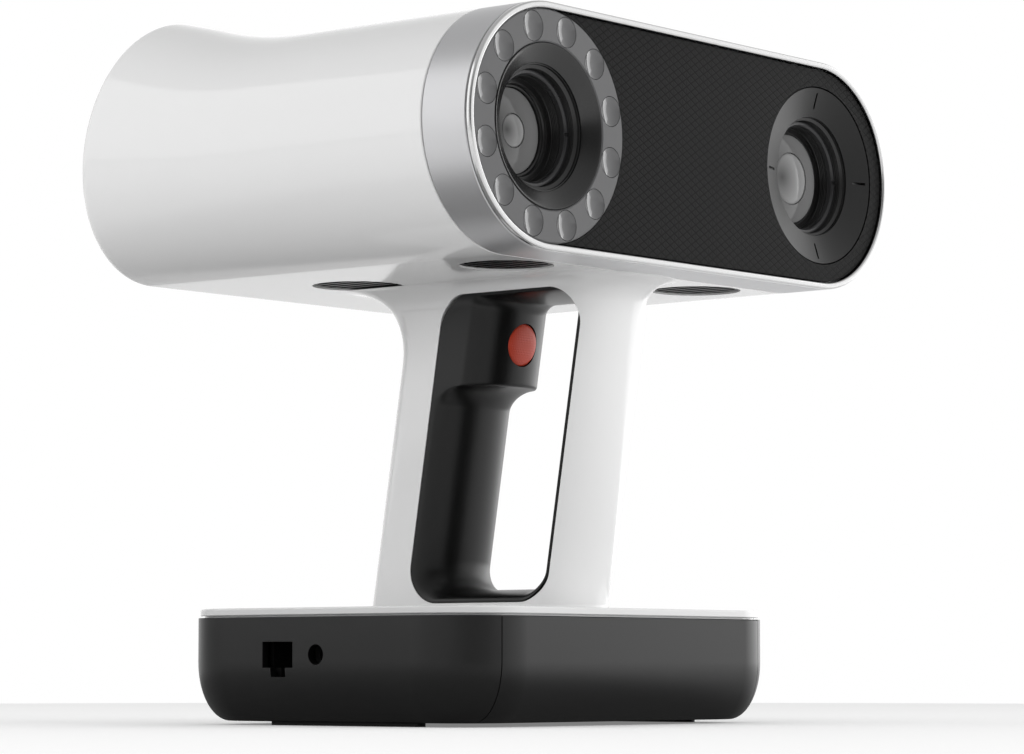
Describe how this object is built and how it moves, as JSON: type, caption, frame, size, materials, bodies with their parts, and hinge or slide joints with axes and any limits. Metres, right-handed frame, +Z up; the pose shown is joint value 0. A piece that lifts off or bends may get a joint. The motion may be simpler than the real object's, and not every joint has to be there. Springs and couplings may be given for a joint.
{
  "type": "hand-held 3d scanner",
  "caption": "Hand-held structured-light 3D scanner that stands on its base: wide head with two recessed lenses, leaning handle with a lined finger opening and trigger, slide-out battery.",
  "frame": {"origin": "on the floor under the middle of the head", "axes": "-Y out of the front of the head, +Z up, +X to the right as seen from the front"},
  "size_m": [0.2288, 0.1687, 0.2288],
  "materials": {
    "bright_rim": "polished",
    "satin_band": "satin anodised",
    "white_shell": "gloss white moulding",
    "black_panel": "fine facet pattern",
    "frame_metal": "machined",
    "screw_steel": "plain",
    "lamp_metal": "satin grey",
    "lamp_window": "clear dome over a lamp",
    "circuit_board": "solder mask",
    "black_metal": "matt black",
    "lens_glass": "coated",
    "body_metal": "black anodised",
    "ring_metal": "turned, satin",
    "grille_plastic": "satin",
    "fan_plastic": "satin",
    "post_brass": "plain",
    "chip": "matt",
    "sink_metal": "plain",
    "screen_black": "satin",
    "screen_glass": "dark gloss",
    "rubber": "matt",
    "trigger_red": "fine grain",
    "base_black": "satin",
    "contact_gold": "plated",
    "socket_black": "matt"
  },
  "bodies": {
    "scanner": {"rim_ring": "bright_rim", "front_panel": "black_panel", "front_band": "satin_band", "optical_frame": "frame_metal", "frame_screws": "screw_steel", "lamp_ring": "lamp_metal", "lamp_lenses": "lamp_window", "lamp_board": "circuit_board", "camera_hood": "black_metal", "camera_barrel": "black_metal", "camera_retainer": "black_metal", "camera_lens": "lens_glass", "camera_body": "body_metal", "projector_ring": "ring_metal", "projector_barrel": "black_metal", "projector_retainer": "black_metal", "projector_lens": "lens_glass", "projector_body": "body_metal", "head_shell": "white_shell", "vent_grilles": "grille_plastic", "fan_frames": "fan_plastic", "main_board": "circuit_board", "board_standoffs": "post_brass", "board_screws": "screw_steel", "processor": "chip", "heat_sink": "sink_metal", "screen_frame": "screen_black", "screen_glass": "screen_glass", "screen_module": "body_metal", "handle_column": "white_shell", "handle_screws": "screw_steel", "grip_lining": "rubber", "trigger_switch": "socket_black", "base_plate": "white_shell", "base_housing": "base_black", "socket_plate": "base_black", "base_screws": "screw_steel", "rubber_feet": "rubber", "contact_block": "socket_black", "port_board": "circuit_board", "network_socket": "socket_black", "power_socket": "socket_black", "power_switch": "socket_black"},
    "trigger": {"trigger": "trigger_red"},
    "left_fan": {"left_fan": "fan_plastic"},
    "right_fan": {"right_fan": "fan_plastic"},
    "battery": {"battery_pack": "base_black", "pack_contacts": "contact_gold"},
    "power_button": {"power_button": "grille_plastic"}
  },
  "joints": [
    {"name": "trigger_press", "type": "slide", "parent": "scanner", "child": "trigger", "axis": [0, 0.9869, 0.1616], "range_m": [0, 0.0016], "stiffness_N_per_m": 800},
    {"name": "battery_slide", "type": "slide", "parent": "scanner", "child": "battery", "axis": [0, -1, 0], "range_m": [0, 0.03]},
    {"name": "left_fan_spin", "type": "hinge", "parent": "scanner", "child": "left_fan", "pos_m": [-0.0346, 0.02775, 0.1516], "axis": [0, 0, 1], "continuous": true},
    {"name": "right_fan_spin", "type": "hinge", "parent": "scanner", "child": "right_fan", "pos_m": [0.0346, 0.02775, 0.1516], "axis": [0, 0, 1], "continuous": true},
    {"name": "power_press", "type": "slide", "parent": "scanner", "child": "power_button", "axis": [0, -1, 0], "range_m": [0, 0.0012], "stiffness_N_per_m": 900}
  ]
}
